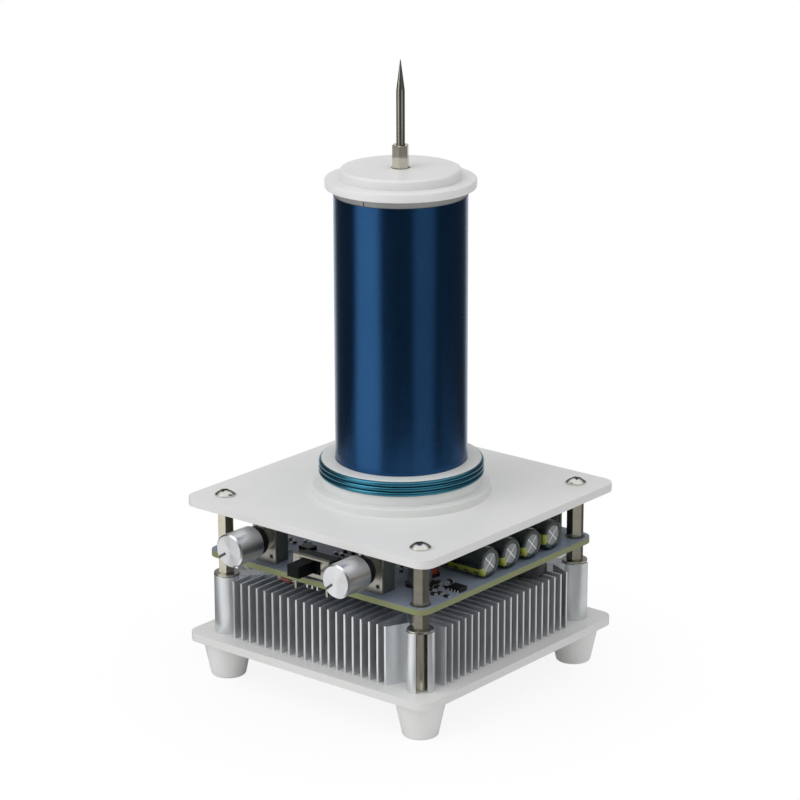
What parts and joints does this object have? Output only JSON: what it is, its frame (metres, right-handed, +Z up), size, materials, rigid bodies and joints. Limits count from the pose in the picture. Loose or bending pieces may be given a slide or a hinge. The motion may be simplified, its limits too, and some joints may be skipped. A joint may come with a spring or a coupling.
{
  "type": "desktop resonant transformer",
  "caption": "Desktop air-cored resonant transformer: wound column with a capped needle on a square two-plate stack with driver board, knobs, slide switch and heatsink.",
  "frame": {"origin": "on the tabletop, on the coil's axis, midway between the four feet", "axes": "+Z up along the coil, -Y towards the knobs and switch, +X towards the capacitors' vented ends"},
  "size_m": [0.1024, 0.111, 0.2066],
  "materials": {
    "white_plastic": "satin white",
    "cap_plastic": "satin white",
    "foot_plastic": "satin white",
    "former_plastic": "milky satin",
    "clear_tube": "milky, smooth",
    "bright_screws": "bright nickel plate",
    "nickel_posts": "dull nickel plate",
    "nickel_sheet": "nickel plate",
    "anodised_fins": "clear anodised extrusion",
    "board": "pale solder mask on woven glass board",
    "pot_plastic": "moulded",
    "shaft_metal": "turned",
    "insert_plastic": "moulded",
    "knob_metal": "turned and spun face",
    "switch_plastic": "moulded",
    "lever_plastic": "satin moulded",
    "phenolic": "pressed laminate",
    "tinned_wire": "tinned",
    "can_metal": "drawn can",
    "sleeve_film": "shrunk film",
    "bung_rubber": "moulded",
    "chip_plastic": "moulded epoxy",
    "ceramic_parts": "fired",
    "choke_sleeve": "shrunk film over ferrite",
    "diode_glass": "amber-red glass",
    "tab_metal": "tin-plated",
    "jack_plastic": "moulded",
    "teal_enamel": "enamelled copper wire",
    "navy_enamel": "fine enamelled wire under varnish",
    "bare_copper": "fine enamelled wire"
  },
  "bodies": {
    "base": {"feet": "foot_plastic", "foot_screws": "bright_screws", "base_plate": "white_plastic", "heatsink": "anodised_fins", "boss_posts": "nickel_posts", "washers": "nickel_sheet", "lower_posts": "nickel_posts", "circuit_board": "board", "upper_posts": "nickel_posts", "top_plate": "white_plastic", "top_screws": "bright_screws", "left_pot_face": "nickel_sheet", "left_pot_body": "pot_plastic", "right_pot_face": "nickel_sheet", "right_pot_body": "pot_plastic", "pot_pins": "tinned_wire", "switch_frame": "nickel_sheet", "switch_body": "switch_plastic", "switch_base": "phenolic", "switch_pins": "tinned_wire", "capacitor_sleeves": "sleeve_film", "capacitor_cans": "can_metal", "capacitor_bungs": "bung_rubber", "capacitor_leads": "tinned_wire", "chip_bodies": "chip_plastic", "chip_leads": "tinned_wire", "small_part_bodies": "ceramic_parts", "small_part_ends": "tinned_wire", "reservoir_can": "can_metal", "reservoir_base": "chip_plastic", "choke": "choke_sleeve", "choke_pins": "tinned_wire", "signal_diode": "diode_glass", "transistor_bodies": "chip_plastic", "transistor_tabs": "tab_metal", "transistor_leads": "tinned_wire", "transistor_pads": "ceramic_parts", "transistor_screws": "bright_screws", "dc_jack": "jack_plastic", "dc_jack_pin": "tab_metal", "audio_jack": "jack_plastic", "jack_pins": "tinned_wire", "primary_former": "former_plastic", "primary_winding": "teal_enamel", "secondary_tube": "clear_tube", "secondary_winding": "navy_enamel", "secondary_leads": "bare_copper", "bottom_plug": "white_plastic", "plug_screw": "bright_screws", "top_cap": "cap_plastic", "terminal_screw": "bright_screws", "terminal_post": "nickel_posts", "needle": "nickel_posts"},
    "left_knob_set": {"left_pot_shaft": "shaft_metal", "left_knob_insert": "insert_plastic", "left_knob": "knob_metal"},
    "right_knob_set": {"right_pot_shaft": "shaft_metal", "right_knob_insert": "insert_plastic", "right_knob": "knob_metal"},
    "lever": {"switch_lever": "lever_plastic"}
  },
  "joints": [
    {"name": "left_knob_turn", "type": "hinge", "parent": "base", "child": "left_knob_set", "pos_m": [-0.0231, -0.0544, 0.0524], "axis": [0, 1, 0], "range_deg": [-26, 274]},
    {"name": "right_knob_turn", "type": "hinge", "parent": "base", "child": "right_knob_set", "pos_m": [0.022, -0.0544, 0.0524], "axis": [0, 1, 0], "range_deg": [-21, 279]},
    {"name": "switch_slide", "type": "slide", "parent": "base", "child": "lever", "axis": [1, 0, 0], "range_m": [0, 0.0025]}
  ]
}
